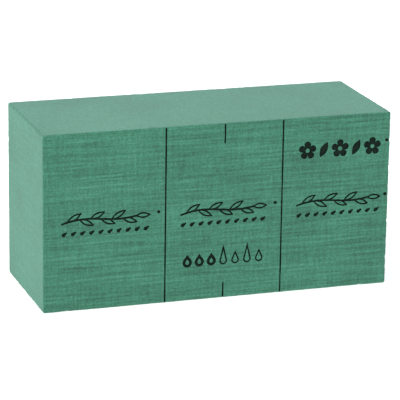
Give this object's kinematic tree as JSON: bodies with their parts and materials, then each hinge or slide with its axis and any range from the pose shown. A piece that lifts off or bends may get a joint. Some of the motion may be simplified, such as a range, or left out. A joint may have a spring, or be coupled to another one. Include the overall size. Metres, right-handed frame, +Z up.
{
  "type": "floral foam brick",
  "caption": "Rectangular brick of rigid green floral foam that holds cut flower stems, with score lines for cutting it and small stamped plant pictures on its front face.",
  "frame": {"origin": "middle of the bottom face", "axes": "+X along the brick's length, +Y from the stamped front face to the back, +Z up"},
  "size_m": [0.23, 0.088, 0.115],
  "materials": {
    "foam": "dry rigid phenolic foam, matt, fine open pores and faint saw lines",
    "scorched_foam": "foam crushed and scorched by the stamp, near black, matt"
  },
  "bodies": {
    "root": {"left_section": "foam", "middle_section": "foam", "right_section": "foam", "bold_daisy_skin_1": "scorched_foam", "bold_daisy_skin_3": "scorched_foam", "bold_daisy_skin_5": "scorched_foam", "bold_dot_skin": "scorched_foam", "bold_leaf_skin_2": "scorched_foam", "bold_leaf_skin_4": "scorched_foam", "dot_skin_left": "scorched_foam", "dot_skin_middle": "scorched_foam", "dot_skin_right": "scorched_foam", "fine_drop_skin_1": "scorched_foam", "fine_drop_skin_2": "scorched_foam", "fine_drop_skin_3": "scorched_foam", "fine_drop_skin_4": "scorched_foam", "heavy_drop_skin_1": "scorched_foam", "heavy_drop_skin_2": "scorched_foam", "heavy_drop_skin_3": "scorched_foam", "score_skin_left": "scorched_foam", "score_skin_right": "scorched_foam", "seed_skin_left_01": "scorched_foam", "seed_skin_left_02": "scorched_foam", "seed_skin_left_03": "scorched_foam", "seed_skin_left_04": "scorched_foam", "seed_skin_left_05": "scorched_foam", "seed_skin_left_06": "scorched_foam", "seed_skin_left_07": "scorched_foam", "seed_skin_left_08": "scorched_foam", "seed_skin_left_09": "scorched_foam", "seed_skin_left_10": "scorched_foam", "seed_skin_middle_01": "scorched_foam", "seed_skin_middle_02": "scorched_foam", "seed_skin_middle_03": "scorched_foam", "seed_skin_middle_04": "scorched_foam", "seed_skin_middle_05": "scorched_foam", "seed_skin_middle_06": "scorched_foam", "seed_skin_middle_07": "scorched_foam", "seed_skin_middle_08": "scorched_foam", "seed_skin_middle_09": "scorched_foam", "seed_skin_middle_10": "scorched_foam", "seed_skin_right_01": "scorched_foam", "seed_skin_right_02": "scorched_foam", "seed_skin_right_03": "scorched_foam", "seed_skin_right_04": "scorched_foam", "seed_skin_right_05": "scorched_foam", "seed_skin_right_06": "scorched_foam", "seed_skin_right_07": "scorched_foam", "seed_skin_right_08": "scorched_foam", "seed_skin_right_09": "scorched_foam", "seed_skin_right_10": "scorched_foam", "sprig_skin_left": "scorched_foam", "sprig_skin_middle": "scorched_foam", "sprig_skin_right": "scorched_foam", "tick_skin_bottom": "scorched_foam", "tick_skin_top": "scorched_foam"}
  },
  "joints": []
}
